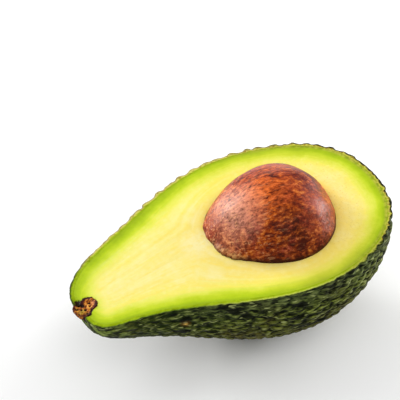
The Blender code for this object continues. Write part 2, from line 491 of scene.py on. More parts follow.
def peel_piece():
    rows = half_rows(SKIN_STEP)
    turns, around, outer = laid_out(rows)
    relief, tip = pebble_relief(turns, around)
    base = fruit_points(turns, around, 0.0)
    fade = NECK_RELIEF + (1.0 - NECK_RELIEF) * smooth_step(base[:, 0], STEM_END, SMOOTH_NECK)
    fade *= smooth_step(BLOSSOM_END - base[:, 0], 0.0, SMOOTH_BLOSSOM)
    skin = fruit_points(turns, around, skin_rise(base, relief, fade))

    inner_turns, inner_around, inner = laid_out(thinned(rows))
    lining = fruit_points(inner_turns, inner_around, -PEEL_THICKNESS)
    lining[:, 2] = np.minimum(lining[:, 2], 0.0)
    for surface, indices in ((skin, outer), (lining, inner)):
        for ends in cut_ends(indices):
            surface[ends, 2] = 0.0
    inner = [[k + len(skin) for k in row] for row in inner]

    points = np.concatenate([skin, lining])
    band, shares, band_faces = cut_band(points, outer, inner)
    points = np.concatenate([points, band])
    on_cut = points[:, 2] > -CUT_REACH
    # painted shadow in the stem's socket round the stub
    stain_and_shadow = socket_shadow(points)
    points[:, 2] -= np.where(on_cut, socket_depth(points) + notch_depth(points), 0.0)

    spare = np.zeros(len(points) - len(skin))
    fields = {
        "relief": np.concatenate([relief * fade, spare]),
        # how near each point is to a pebble's tip, where the skin paints a highlight
        "tip": np.concatenate([tip * fade, spare]),
        "inward": np.concatenate([np.zeros(len(skin)), np.ones(len(lining)), shares]),
        "stain_and_shadow": stain_and_shadow,
        "below": -points[:, 2],
    }
    return make_piece("peel", points, sheet(outer) + sheet(inner) + band_faces, fields)


# The flesh

def seed_points(direction, outward, furrow=0.0):
    """Points of the seed's egg about its own centre, for unit directions whose last number is along it."""
    egg = 1.0 + SEED_EGG * direction[:, 2]
    point = np.stack([
        SEED_HALF_LENGTH * direction[:, 2],
        SEED_RADIUS * egg * direction[:, 0],
        SEED_RADIUS * egg * direction[:, 1],
    ], axis=1)
    return point + direction[:, (2, 0, 1)] * np.reshape(outward - furrow, (-1, 1))


def hollow_directions():
    """Rings of unit directions from the seed's lowest point up to where the cut crosses the egg."""
    angle = np.linspace(0.0, 2.0 * math.pi, HOLLOW_SEGMENTS, endpoint=False)
    low = np.full(HOLLOW_SEGMENTS, math.pi / 2.0)
    high = np.full(HOLLOW_SEGMENTS, math.pi)
    for _ in range(HOLLOW_HALVINGS):
        middle = (low + high) / 2.0
        egg = 1.0 + SEED_EGG * np.sin(middle) * np.cos(angle)
        above = SEED_CENTRE.z - SEED_RADIUS * egg * np.cos(middle) > 0.0
        high = np.where(above, middle, high)
        low = np.where(above, low, middle)
    rises = [high * k / HOLLOW_RINGS for k in range(1, HOLLOW_RINGS + 1)]
    return [np.stack([np.sin(rise) * np.sin(angle), -np.cos(rise), np.sin(rise) * np.cos(angle)], axis=1)
            for rise in rises]


# The cut face: where its fibres start and end, how it laps its neighbours, and its slight unevenness.
FIBRE_START = (0.006, 0.0006)
FIBRE_END = (0.0468, 0.0058)
FIBRE_GRAIN = (9.0, 28.0, 28.0)
FLESH_LAP = 0.00012
SEED_LAP = 0.0001
FACE_DROP = 0.00004
FACE_WAVE = 0.013
FACE_WAVE_DEPTH = 0.00016
FACE_GRAIN_DEPTH = 0.00004
FACE_INLAND = 0.003
FACE_CLEARANCE = 0.6
EDGE_ROUND = 0.0007
EDGE_DROP = 0.0001


def flow_of(points, rim_distance, seed_distance):
    """Coordinates whose first number follows the fibres, from the middle line and seed out to the rim."""
    start = np.array(FIBRE_START)
    span = np.array(FIBRE_END) - start
    share = np.clip(((points[:, :2] - start) @ span) / (span @ span), 0.0, 1.0)
    off_line = np.linalg.norm(points[:, :2] - start - share[:, None] * span, axis=1)
    inner = np.minimum(off_line, seed_distance)
    return np.stack([inner / (inner + rim_distance + 1e-5), points[:, 0], points[:, 1]], axis=1)


def hollow_walls(first):
    """The seed's hollow: its points, its faces and its top loop, numbered from the given first point."""
    outward = [GAP] * (HOLLOW_RINGS - 1) + [-SEED_LAP]
    walls = [moved(seed_points(ring, np.full(HOLLOW_SEGMENTS, out)), SEED_PLACE)
             for ring, out in zip(hollow_directions(), outward)]
    walls[-1][:, 2] = 0.0
    lowest = moved(seed_points(np.array([[0.0, -1.0, 0.0]]), np.array([GAP])), SEED_PLACE)
    points = np.concatenate([*walls, lowest])
    middle = first + len(points) - 1
    loops = [list(range(start, start + HOLLOW_SEGMENTS)) for start in range(first, middle, HOLLOW_SEGMENTS)]
    faces = []
    for k in range(HOLLOW_SEGMENTS):
        after = (k + 1) % HOLLOW_SEGMENTS
        faces.append((middle, loops[0][k], loops[0][after]))
        for one, two in zip(loops, loops[1:]):
            faces.append((one[k], two[k], two[after], one[after]))
    return points, faces, loops[-1]


def cut_face(points, rim, shore):
    """The flat face between the rim and the hollow's shore: its new points and its triangles."""
    edge = points[rim][:, :2]
    bank = points[shore][:, :2]
    known = rim + shore
    joints = [(k, (k + 1) % len(edge)) for k in range(len(edge))]
    joints += [(len(edge) + k, len(edge) + (k + 1) % len(bank)) for k in range(len(bank))]
    flat = [Vector(p) for p in (*edge, *bank, *face_grid(edge, bank))]
    flat_points, _, triangles, sources, _, _ = delaunay_2d_cdt(flat, joints, [], 1, 1e-7)
    indices = []
    fresh = []
    for point, source in zip(flat_points, sources):
        if source and source[0] < len(known):
            indices.append(known[source[0]])
        else:
            indices.append(len(points) + len(fresh))
            fresh.append((point.x, point.y, 0.0))
    seed_middle = np.mean(bank, axis=0)
    faces = []
    for triangle in triangles:
        middle = np.mean([flat_points[k] for k in triangle], axis=0)
        if not within(middle, bank, seed_middle):
            faces.append([indices[k] for k in triangle])
    return np.array(fresh), faces


def flesh_piece():
    turns, around, hidden = laid_out(thinned(half_rows(SKIN_STEP)))
    points = fruit_points(turns, around, -PEEL_THICKNESS - FLESH_LAP)
    points[:, 2] = np.minimum(points[:, 2], -FACE_DROP)
    left, right = cut_ends(hidden)
    rim = left + right[-2:0:-1]
    points[rim] = fruit_points(turns[rim], around[rim], -PEEL_THICKNESS + FLESH_LAP)
    points[rim, 2] = 0.0
    walls, wall_faces, shore = hollow_walls(len(points))
    points = np.concatenate([points, walls])
    fresh, top_faces = cut_face(points, rim, shore)
    top = np.array(rim + shore + list(range(len(points), len(points) + len(fresh))))
    points = np.concatenate([points, fresh])

    rim_distance = distances(points, points[rim][:, :2])
    seed_distance = distances(points, points[shore][:, :2])
    flow = flow_of(points, rim_distance, seed_distance)
    wave = FACE_WAVE_DEPTH * grain(points[top], FACE_WAVE)
    streak = FACE_GRAIN_DEPTH * grain(flow[top] * FIBRE_GRAIN, 1.0)
    lip = -EDGE_DROP * np.exp(-((seed_distance[top] / EDGE_ROUND) ** 2))
    inland = smooth_step(rim_distance[top], 0.0, FACE_INLAND)
    points[top, 2] = -FACE_DROP + inland * (wave + streak) + lip
    flat_top = points[top] * (1.0, 1.0, 0.0)
    # painted shadow in the stem's socket round the stub
    stain_and_shadow = socket_shadow(points)
    points[top, 2] -= socket_depth(flat_top) + notch_depth(flat_top)
    fields = {"rim": rim_distance, "core": seed_distance, "stain_and_shadow": stain_and_shadow, "flow": flow}
    return make_piece("flesh", points, sheet(hidden) + wall_faces + top_faces, fields)


def within(point, loop, middle):
    """True where a point lies inside a convex loop round a middle."""
    angles = np.arctan2(loop[:, 1] - middle[1], loop[:, 0] - middle[0])
    order = np.argsort(angles)
    reach = np.hypot(loop[:, 0] - middle[0], loop[:, 1] - middle[1])
    angle = math.atan2(point[1] - middle[1], point[0] - middle[0])
    limit = np.interp(angle, angles[order], reach[order], period=2.0 * math.pi)
    return math.hypot(point[0] - middle[0], point[1] - middle[1]) < limit


def distances(points, loop):
    """How far each point lies from the nearest point of a loop, seen from above."""
    tree = tree_of(loop)
    return np.array([tree.find(Vector((x, y, 0.0)))[2] for x, y, _ in points])


def face_grid(edge, bank):
    """Points in a pattern of even triangles that fill the cut face, clear of its two edges."""
    rim_tree = tree_of(edge)
    bank_tree = tree_of(bank)
    seed_middle = np.mean(bank, axis=0)
    low = edge.min(axis=0)
    high = edge.max(axis=0)
    rise = FACE_STEP * math.sqrt(0.75)
    kept = []
    for row in range(int((high[1] - low[1]) / rise)):
        for column in range(int((high[0] - low[0]) / FACE_STEP)):
            x = low[0] + (column + 0.5 * (row % 2)) * FACE_STEP
            y = low[1] + row * rise
            radius = float(look_up("along", x, "radius"))
            side, lift = centre_line(x)
            half = math.sqrt(max(radius**2 - lift**2, 0.0)) - PEEL_THICKNESS
            if abs(y - side) > half:
                continue
            place = Vector((x, y, 0.0))
            if min(rim_tree.find(place)[2], bank_tree.find(place)[2]) < FACE_STEP * FACE_CLEARANCE:
                continue
            if not within((x, y), bank, seed_middle):
                kept.append((x, y))
    return kept


# The seed

# Its dents and wrinkles, and the rag of papery coat that is left where it meets the flesh.
DENT_SIZE = 0.0075
DENT_DEPTH = 0.00022
WRINKLE_SIZE = 0.0011
WRINKLE_STRETCH = (0.35, 1.0, 1.0)
WRINKLE_DEPTH = 0.00006
COAT_HEADING = math.radians(-142.0)
COAT_SPREAD = math.radians(17.0)
COAT_TOP = 0.0022
COAT_FOOT = -0.002
COAT_DEPTH = 0.0014
COAT_RAG = 0.5
COAT_RAG_SIZE = 0.0011


def seed_piece():
    rise = np.linspace(0.0, math.pi, SEED_ROWS + 1)[1:-1]
    angle = np.linspace(0.0, 2.0 * math.pi, SEED_SEGMENTS, endpoint=False)
    grid_rise, grid_angle = np.meshgrid(rise, angle, indexing="ij")
    direction = np.stack([
        np.sin(grid_rise) * np.cos(grid_angle),
        np.sin(grid_rise) * np.sin(grid_angle),
        np.cos(grid_rise),
    ], axis=-1).reshape(-1, 3)
    direction = np.concatenate([direction, [[0.0, 0.0, 1.0], [0.0, 0.0, -1.0]]])
    around = np.arctan2(direction[:, 1], direction[:, 0])
    furrow = SEED_RIDGE * (0.5 - 0.5 * np.sin(SEED_RIDGES * around + SEED_RIDGE_TWIST * direction[:, 2]))
    furrow *= smooth_step(1.0 - np.abs(direction[:, 2]), 0.0, 0.05)
    smooth = seed_points(direction, np.zeros(len(direction)))
    furrow -= DENT_DEPTH * grain(smooth, DENT_SIZE)
    furrow -= WRINKLE_DEPTH * grain(smooth * WRINKLE_STRETCH, WRINKLE_SIZE)
    heading = np.arctan2(smooth[:, 1], smooth[:, 0])
    turn_off = np.angle(np.exp(1j * (heading - COAT_HEADING)))
    above = smooth[:, 2] + SEED_CENTRE.z
    coat = np.exp(-((turn_off / COAT_SPREAD) ** 2)) * smooth_step(above, COAT_TOP, 0.0)
    coat *= smooth_step(above, COAT_FOOT, 0.0)
    furrow -= coat * COAT_DEPTH * (1.0 + COAT_RAG * grain(smooth, COAT_RAG_SIZE))
    points = seed_points(direction, np.zeros(len(direction)), furrow)
    rows = len(rise)
    faces = []
    for k in range(SEED_SEGMENTS):
        after = (k + 1) % SEED_SEGMENTS
        faces.append((len(points) - 2, k, after))
        last = (rows - 1) * SEED_SEGMENTS
        faces.append((len(points) - 1, last + after, last + k))
        for row in range(rows - 1):
            one = row * SEED_SEGMENTS
            two = one + SEED_SEGMENTS
            faces.append((one + k, two + k, two + after, one + after))
    placed = moved(points, SEED_PLACE)
    return make_piece("seed", placed, faces, {"above": placed[:, 2], "coat": coat, "own": smooth})


# The stem

# The stub's fineness, its lumps and crumbs, and the raised lip along its bark.
STEM_ROWS = 64
STEM_UNDER = 40
STEM_ACROSS = 40
STEM_END_RINGS = (0.9, 0.75, 0.55, 0.3)
STEM_LUMP_SIZE = 0.0012
STEM_LUMP_DEPTH = 0.00022
STEM_CRUMB_SIZE = 0.00045
STEM_CRUMB_DEPTH = 0.0001
STEM_RAISE = 0.00012
STEM_LIP = 0.00016
STEM_LIP_WIDTH = 0.0008
STEM_END_BARK = 0.25

# Each pit of the stub as (along, across, height, size, depth).
STEM_PITS = (
    (0.0051, 0.0002, 0.0, 0.00055, 0.0009),
    (0.0032, 0.0012, 0.0, 0.00085, 0.0008),
    (0.0025, -0.0006, 0.0, 0.00060, 0.0008),
    (0.0002, -0.0021, -0.0008, 0.00100, 0.0013),
    (0.0002, 0.0004, -0.0006, 0.00070, 0.0010),
    (0.0027, 0.0024, 0.0, 0.00080, 0.0008),
    (0.0031, -0.0024, 0.0, 0.00055, 0.0008),
    (0.0012, 0.0016, 0.0, 0.00060, 0.0008),
    (0.0041, -0.0010, 0.0, 0.00035, 0.0005),
    (0.0016, -0.0020, 0.0, 0.00050, 0.0007),
    (0.0018, 0.0004, 0.0, 0.00045, 0.0006),
    (0.0036, 0.0002, 0.0, 0.00040, 0.0006),
)


def stem_base():
    """The stub's plain form in its own frame: a half-round underside and a cut top, closed at both ends.

    Returns the points, faces and how near each point of the cut top is to the bark.
    """
    points = []
    bark = []

    def added(point, near):
        points.append(tuple(point))
        bark.append(near)
        return len(points) - 1

    reaches, radii = zip(*STEM_OUTLINE)
    rings = []
    for distance in np.linspace(0.0, reaches[-1], STEM_ROWS + 1):
        radius = float(np.interp(distance, reaches, radii))
        ring = []
        for k in range(STEM_UNDER + 1):
            angle = -math.pi * k / STEM_UNDER
            ring.append(added((distance, radius * math.cos(angle), radius * math.sin(angle)), 1.0))
        for k in range(1, STEM_ACROSS):
            share = k / STEM_ACROSS
            edge = min(share, 1.0 - share) * 2.0 * radius
            near = math.exp(-((edge / STEM_LIP_WIDTH) ** 2))
            ring.append(added((distance, radius * (2.0 * share - 1.0), STEM_RAISE + STEM_LIP * near), near))
        rings.append(ring)
    first = rings[0]
    middle = np.mean([points[k] for k in first], axis=0)
    for share in STEM_END_RINGS:
        closer = [middle + (np.array(points[k]) - middle) * share for k in first]
        rings.insert(0, [added(point, STEM_END_BARK) for point in closer])
    faces = []
    for one, two in zip(rings, rings[1:]):
        for k in range(len(one)):
            after = (k + 1) % len(one)
            faces.append((one[k], two[k], two[after], one[after]))
    for ring in (rings[0], rings[-1]):
        tip = added(np.mean([points[k] for k in ring], axis=0), 1.0)
        faces += [(tip, ring[k], ring[(k + 1) % len(ring)]) for k in range(len(ring))]
    return np.array(points), faces, np.array(bark)


def outward_normals(points, faces):
    """The points' normals, pointing out of a closed mesh."""
    mesh = bpy.data.meshes.new("draft")
    mesh.from_pydata([tuple(p) for p in points], [], faces)
    bm = bmesh.new()
    bm.from_mesh(mesh)
    bmesh.ops.recalc_face_normals(bm, faces=bm.faces)
    bm.normal_update()
    normals = np.array([vert.normal for vert in bm.verts])
    bm.free()
    bpy.data.meshes.remove(mesh)
    return normals


def stem_piece():
    own, faces, bark = stem_base()
    pit = np.zeros(len(own))
    inward = np.zeros(len(own))
    for along, across, height, size, depth in STEM_PITS:
        share = np.exp(-((np.linalg.norm(own - (along, across, height), axis=1) / size) ** 2))
        pit = np.maximum(pit, share)
        inward += depth * share
    lump = STEM_LUMP_DEPTH * grain(own, STEM_LUMP_SIZE) + STEM_CRUMB_DEPTH * grain(own, STEM_CRUMB_SIZE)
    rough = own + outward_normals(own, faces) * (lump - inward)[:, None]
    return make_piece("stem", moved(rough, STEM_PLACE), faces, {"bark": bark, "pit": pit, "own": own})


# Materials

BUMP_DISTANCE = 0.0003


def srgb(red, green, blue):
    """A colour as seen on a screen, from 0 to 255, as the linear numbers that shaders take."""
    def linear(value):
        share = value / 255.0
        return share / 12.92 if share <= 0.04045 else ((share + 0.055) / 1.055) ** 2.4
    return (linear(red), linear(green), linear(blue), 1.0)


def fill(made, inputs):
    """Gives the named inputs of a shader node a socket to link or a plain value."""
    for name, value in inputs.items():
        if isinstance(value, bpy.types.NodeSocket):
            made.id_data.links.new(value, made.inputs[name])
        else:
            made.inputs[name].default_value = value


def node(source, kind, inputs, **settings):
    """A new shader node in the tree of a socket, or in the tree that is given itself."""
    made = source.id_data.nodes.new("ShaderNode" + kind)
    for name, value in settings.items():
        setattr(made, name, value)
    fill(made, inputs)
    return made


def new_material(name, looks):
    """A material whose shader takes the inputs that a function of the node tree gives."""
    material = bpy.data.materials.new(name)
    material.use_nodes = True
    fill(material.node_tree.nodes["Principled BSDF"], looks(material.node_tree))
    return material


def number(tree, name, output="Fac"):
    """A number that the mesh holds for each of its points."""
    return node(tree, "Attribute", {}, attribute_name=name).outputs[output]


def vector(tree, name):
    return number(tree, name, "Vector")


def place_in_world(tree):
    return node(tree, "TexCoord", {}).outputs["Object"]


def coordinate(place, axis):
    return node(place, "SeparateXYZ", {0: place}).outputs[axis]


def stretched(place, factors):
    return node(place, "Mapping", {"Vector": place, "Scale": factors}).outputs[0]


def calculated(operation, one, two):
    return node(one, "Math", {0: one, 1: two}, operation=operation).outputs[0]


def sum_of(one, two):
    return calculated("ADD", one, two)


def greater_of(one, two):
    return calculated("MAXIMUM", one, two)


def ratio_of(one, two):
    return calculated("DIVIDE", one, two)


def product_of(first, *others):
    for other in others:
        first = calculated("MULTIPLY", first, other)
    return first


def spread(value, low, high, to_low=0.0, to_high=1.0):
    """A number carried from one range to another and kept inside it."""
    inputs = {0: value, 1: low, 2: high, 3: to_low, 4: to_high}
    return node(value, "MapRange", inputs).outputs[0]


def speckle(place, size, detail=3.0, roughness=0.55, distortion=0.0):
    """Noise from 0 to 1 whose broadest patches have about the given size."""
    inputs = {"Vector": place, "Scale": 1.0 / size, "Detail": detail, "Roughness": roughness}
    return node(place, "TexNoise", {**inputs, "Distortion": distortion}).outputs[0]


def roughened(value, speckles, amount):
    """A number made uneven by noise, by up to an amount either way."""
    return sum_of(value, spread(speckles, 0.3, 0.7, -amount, amount))


def cells(place, size):
    """How far a place is from the border of its cell, from 0 at the border."""
    inputs = {"Vector": place, "Scale": 1.0 / size}
    return node(place, "TexVoronoi", inputs, feature="DISTANCE_TO_EDGE").outputs[0]


def near_to(place, spot, radius):
    """1 at a spot, falling to 0 at a radius from it."""
    distance = node(place, "VectorMath", {0: place, 1: spot}, operation="DISTANCE")
    return spread(distance.outputs["Value"], 0.0, radius, 1.0, 0.0)


def ramp(factor, stops):
    """A colour for a number, from stops of a number and the colour's three numbers on a screen."""
    made = node(factor, "ValToRGB", {0: factor})
    elements = made.color_ramp.elements
    while len(elements) < len(stops):
        elements.new(0.5)
    for element, (place, *colour) in zip(elements, stops):
        element.position = place
        element.color = srgb(*colour)
    return made.outputs[0]


def mix(factor, one, two):
    return node(factor, "Mix", {0: factor, 6: one, 7: two}, data_type="RGBA").outputs[2]


def washed(colour, rows):
    """A colour carried towards the tone of each row by the product of the row's amounts."""
    for tone, *amounts in rows:
        colour = mix(product_of(*amounts), colour, tone)
    return colour


def bumped(height, strength):
    inputs = {"Strength": strength, "Distance": BUMP_DISTANCE, "Height": height}
    return node(height, "Bump", inputs).outputs[0]


# The dark, torn tissue round the stub, and painted shadow in the stem's socket round the stub.
STUB_STAIN_AND_SHADOW = srgb(44, 24, 10)
NOTCH_STAIN_REACH = 2.2


def stained_and_shaded_round_stub(colour, tree, place):
    """A colour with the dark, torn tissue round the stub and the painted shadow in its socket over it."""
    stain_and_shadow = number(tree, "stain_and_shadow")
    for along, across, size, _ in NOTCHES:
        spot = RESTING @ Vector((along, across, 0.0))
        stain_and_shadow = greater_of(stain_and_shadow, near_to(place, spot, NOTCH_STAIN_REACH * size))
    ragged = roughened(stain_and_shadow, speckle(place, 0.0009), 0.25)
    return mix(spread(ragged, 0.3, 0.55), colour, STUB_STAIN_AND_SHADOW)


# The skin's colours, from its hollows to its tops, with painted shade in the hollows and painted light on
# the tops, and the tones that wash over them.
SKIN_COLOURS = (
    (0.00, 6, 8, 2), (0.20, 14, 19, 4), (0.45, 68, 78, 22), (0.70, 112, 122, 50), (1.00, 164, 174, 88),
)
# Brown patches of the skin, and painted shade that darkens the skin towards the bottom.
SKIN_BROWN_AND_SHADE = srgb(78, 62, 26)
# Painted reflection: a grey sheen on the skin towards the blossom end.
SKIN_GREY_REFLECTION = srgb(114, 120, 76)
SKIN_SLATE = srgb(72, 84, 60)
SKIN_GREEN = srgb(24, 38, 2)
# Painted shade: the near-black colour put into the pits and dashes between the pebbles.
SKIN_PIT_SHADE = srgb(6, 9, 3)
SKIN_STREAK = srgb(130, 148, 66)
# Light specks on the skin, a thin light line below the cut at the neck, and the painted highlights on the
# pebbles' tips.
SKIN_FLECK_AND_HIGHLIGHT = srgb(158, 166, 102)
SKIN_SHEEN = (0.9, 1.0, 0.72, 1.0)
SKIN_CELL = 0.0014
SKIN_STRETCH = (0.3, 0.38, 1.0)
DASH_STRETCH = (0.28, 0.34, 1.0)
FINE_STRETCH = (0.4, 0.5, 1.0)
NECK_STRETCH = (0.22, 1.0, 1.0)

# A small corky scar on the near side.
SCAR_PLACE = (0.0263, -0.0182, -0.0066)
SCAR_SIZE = 0.001
SCAR_HALO = 0.0021
SCAR_TAN = srgb(212, 172, 84)
SCAR_BROWN = srgb(96, 56, 10)

# The peel's cut edge from its outside inwards: at the neck, the near side, the far side and the blossom.
NECK_BAND = (
    (0.00, 38, 42, 14), (0.22, 58, 72, 20), (0.50, 112, 138, 26), (0.80, 134, 158, 12),
    (1.00, 146, 170, 9),
)
NEAR_BAND = (
    (0.00, 44, 48, 16), (0.14, 104, 116, 34), (0.34, 188, 200, 84), (0.60, 166, 184, 42),
    (1.00, 146, 170, 9),
)
FAR_BAND = (
    (0.00, 96, 76, 30), (0.16, 182, 168, 92), (0.50, 202, 196, 98), (0.80, 170, 180, 48),
    (1.00, 150, 174, 12),
)
BLOSSOM_BAND = (
    (0.00, 20, 24, 6), (0.24, 36, 38, 10), (0.37, 136, 132, 46), (0.62, 196, 190, 80),
    (0.88, 172, 176, 52), (1.00, 148, 170, 16),
)
BAND_SPECK = srgb(132, 92, 28)


def skin_looks(tree, place):
    """The skin's colour, its painted shade and light from hollow to top, and the height of its fine grain.
    """
    x = coordinate(place, "X")
    below = number(tree, "below")
    long = stretched(place, SKIN_STRETCH)
    patches = speckle(place, 0.012, 4.0)
    fine = speckle(stretched(place, FINE_STRETCH), 0.0007, 3.0)
    pits = speckle(long, 0.0015, 2.0, 0.5)
    dashes = speckle(stretched(place, DASH_STRETCH), 0.0024, 1.0, 0.4)
    streaks = speckle(stretched(place, NECK_STRETCH), 0.0022, 2.0, 0.5)
    flecks = spread(speckle(long, 0.0009, 1.0, 0.5), 0.64, 0.73, 0.0, 0.75)
    # painted highlight on the pebbles' tips
    tips = spread(number(tree, "tip"), 0.45, 0.9, 0.0, 0.75)
    line = product_of(spread(below, 0.0002, 0.0016, 0.9, 0.0), spread(x, -0.0565, -0.0605))
    scar = RESTING @ Vector(SCAR_PLACE)
    border = spread(cells(long, SKIN_CELL), 0.0, 0.25)
    # painted shade and light: darker in the hollows and at the cell borders, lighter on the pebbles' tops
    shade = sum_of(spread(number(tree, "relief"), 0.0, 1.0, 0.06, 0.46), product_of(border, 0.34))
    shade = roughened(shade, fine, 0.25)
    skin = washed(ramp(shade, SKIN_COLOURS), (
        (SKIN_BROWN_AND_SHADE, spread(patches, 0.45, 0.65, 0.0, 0.75), shade),
        # painted reflection: the skin greyer towards the blossom end
        (SKIN_GREY_REFLECTION, spread(x, 0.015, 0.038, 0.0, 0.6), shade),
        (SKIN_GREEN, spread(x, -0.022, -0.042), spread(fine, 0.36, 0.6, 0.9, 0.4)),
        (SKIN_SLATE, spread(below, 0.001, 0.009, 0.8, 0.0), spread(x, -0.046, -0.026), shade),
        # painted shade: the skin darker and browner towards the bottom
        (SKIN_BROWN_AND_SHADE, spread(below, 0.01, 0.024, 0.0, 0.7), shade),
        (SKIN_STREAK, spread(streaks, 0.47, 0.6), spread(x, -0.051, -0.06, 0.0, 0.8)),
        (SKIN_FLECK_AND_HIGHLIGHT, line, spread(fine, 0.4, 0.52)),
        # painted shade in the pits and dashes between the pebbles
        (SKIN_PIT_SHADE, spread(pits, 0.42, 0.35, 0.0, 0.9)),
        (SKIN_PIT_SHADE, spread(dashes, 0.41, 0.34, 0.0, 0.95)),
        # partly painted highlight: light specks, and a highlight painted on each pebble's tip
        (SKIN_FLECK_AND_HIGHLIGHT, greater_of(flecks, tips)),
        (SCAR_BROWN, near_to(place, scar, SCAR_HALO)),
        (SCAR_TAN, near_to(place, scar, SCAR_SIZE)),
    ))
    return skin, shade, sum_of(border, sum_of(product_of(fine, 0.5), spread(pits, 0.34, 0.44)))


def band_colour(place, inward):
    """The colour of the peel's cut edge."""
    x = coordinate(place, "X")
    blossom = spread(x, 0.004, 0.03)
    far = spread(coordinate(place, "Y"), -0.004, 0.012)
    jag = spread(speckle(place, 0.0014), 0.3, 0.7, -1.0, 1.0)
    ragged = sum_of(inward, product_of(jag, spread(blossom, 0.0, 1.0, 0.12, 0.28)))
    width = sum_of(spread(x, -0.06, 0.03, 0.55, 0.95), product_of(far, 0.15))
    depth = ratio_of(ragged, width)
    cut = mix(far, ramp(depth, NEAR_BAND), ramp(depth, FAR_BAND))
    near_neck = product_of(spread(x, -0.018, -0.036), spread(far, 0.0, 1.0, 1.0, 0.0))
    neck = greater_of(spread(x, -0.05, -0.058), near_neck)
    cut = mix(neck, cut, ramp(depth, NECK_BAND))
    cut = mix(blossom, cut, ramp(depth, BLOSSOM_BAND))
    specks = spread(speckle(place, 0.001, 2.0), 0.53, 0.62)
    inside_edge = product_of(spread(depth, 0.22, 0.4), spread(depth, 0.6, 0.95, 1.0, 0.0))
    amount = greater_of(blossom, product_of(far, 0.8))
    return mix(product_of(specks, inside_edge, spread(amount, 0.0, 1.0, 0.12, 0.85)), cut, BAND_SPECK)


def peel_looks(tree):
    place = place_in_world(tree)
    inward = number(tree, "inward")
    skin, shade, height = skin_looks(tree, place)
    colour = mix(spread(inward, 0.0, 0.03), skin, band_colour(place, inward))
    return {
        "Base Color": stained_and_shaded_round_stub(colour, tree, place),
        "Roughness": spread(shade, 0.2, 0.9, 0.7, 0.42),
        "Specular IOR Level": 0.06,
        "Specular Tint": SKIN_SHEEN,
        "Normal": bumped(height, 0.9),
    }


# The flesh's colours from its rim inwards, and the tones that wash over them.
FLESH_COLOURS = (
    (0.00, 148, 172, 10), (0.08, 160, 186, 10), (0.17, 177, 200, 16), (0.27, 198, 214, 42),
    (0.40, 221, 227, 82), (0.56, 236, 230, 110), (0.80, 243, 231, 129), (1.00, 244, 231, 140),
)
FLESH_BLEND_DEPTH = 0.014
# The flesh's own gold round the seed, with painted shadow of the seed, stronger towards the blossom end and
# the near side.
FLESH_GOLD_AND_SHADOW = srgb(248, 214, 94)
FLESH_FAR = srgb(236, 232, 96)
FLESH_STREAK = srgb(248, 220, 78)
FLESH_CREAM = srgb(249, 239, 176)
FLESH_OLIVE = srgb(138, 152, 26)
FLESH_FLECK = srgb(214, 178, 74)
FLESH_BAND = srgb(184, 184, 60)
CREAM_SPOT = (0.044, 0.003, 0.0)
CREAM_REACH = 0.0075


def flesh_looks(tree):
    place = place_in_world(tree)
    x = coordinate(place, "X")
    y = coordinate(place, "Y")
    rim = number(tree, "rim")
    core = number(tree, "core")
    uneven = speckle(place, 0.008, 3.0)
    small = speckle(place, 0.0016, 3.0)
    streaks = speckle(stretched(vector(tree, "flow"), FIBRE_GRAIN), 1.0, 4.0, 0.6)
    flecks = spread(speckle(place, 0.0006, 1.0, 0.5), 0.64, 0.74, 0.0, 0.6)
    depth = product_of(rim, spread(x, 0.0, 0.03, 1.25, 1.02), spread(y, 0.0, 0.018, 1.0, 0.8))
    for speckles, amount in ((uneven, 0.0009), (streaks, 0.0006), (small, 0.0003)):
        depth = roughened(depth, speckles, amount)
    inland = product_of(spread(rim, 0.002, 0.009), spread(x, -0.016, 0.006, 1.0, 0.12))
    cream = near_to(place, RESTING @ Vector(CREAM_SPOT), CREAM_REACH)
    off_rim = spread(rim, 0.004, 0.008)
    at_rim = spread(ratio_of(rim, spread(x, -0.01, 0.028, 0.001, 0.0022)), 0.0, 1.0, 1.0, 0.0)
    # partly painted shadow: the seed's shadow on the flesh, stronger towards the blossom end and the near
    # side
    gold_and_shadow = product_of(spread(core, 0.0, 0.013, 0.85, 0.0), spread(x, -0.02, 0.015, 0.6, 1.0))
    broad_end = product_of(spread(x, 0.012, 0.026), spread(rim, 0.007, 0.013, 0.0, 0.6))
    lap = product_of(spread(rim, 0.0005, 0.0013, 0.9, 0.0), spread(x, 0.004, 0.03))
    lap_tone = mix(spread(small, 0.42, 0.6), FLESH_BAND, FLESH_OLIVE)
    colour = washed(ramp(spread(depth, 0.0, FLESH_BLEND_DEPTH), FLESH_COLOURS), (
        (FLESH_FAR, spread(y, 0.004, 0.022), spread(rim, 0.004, 0.01), 0.6),
        (FLESH_GOLD_AND_SHADOW, gold_and_shadow, spread(y, 0.006, 0.018, 1.0, 0.35)),
        (FLESH_CREAM, broad_end, spread(core, 0.001, 0.009, 0.15, 1.0)),
        (FLESH_STREAK, spread(streaks, 0.5, 0.68, 0.0, 0.6), inland),
        (FLESH_CREAM, spread(streaks, 0.48, 0.32, 0.0, 0.35), inland),
        (FLESH_CREAM, cream, spread(small, 0.3, 0.6, 0.6, 1.0)),
        (FLESH_CREAM, spread(small, 0.5, 0.7, 0.0, 0.22), off_rim),
        (FLESH_STREAK, spread(small, 0.48, 0.34, 0.0, 0.2), off_rim),
        (FLESH_CREAM, spread(uneven, 0.52, 0.72, 0.0, 0.35), spread(rim, 0.005, 0.01)),
        (FLESH_OLIVE, spread(small, 0.46, 0.7), at_rim, spread(x, 0.005, 0.035, 0.22, 0.7)),
        (lap_tone, lap),
        (FLESH_FLECK, flecks, spread(x, 0.0, 0.025, 0.1, 1.0), spread(rim, 0.004, 0.01)),
    ))
    return {
        "Base Color": stained_and_shaded_round_stub(colour, tree, place),
        "Roughness": 0.45,
        "Specular IOR Level": 0.15,
        "Subsurface Weight": 0.12,
        "Subsurface Radius": (1.0, 0.9, 0.35),
        "Subsurface Scale": 0.003,
        "Normal": bumped(sum_of(speckle(place, 0.0011, 3.0), streaks), 0.25),
    }


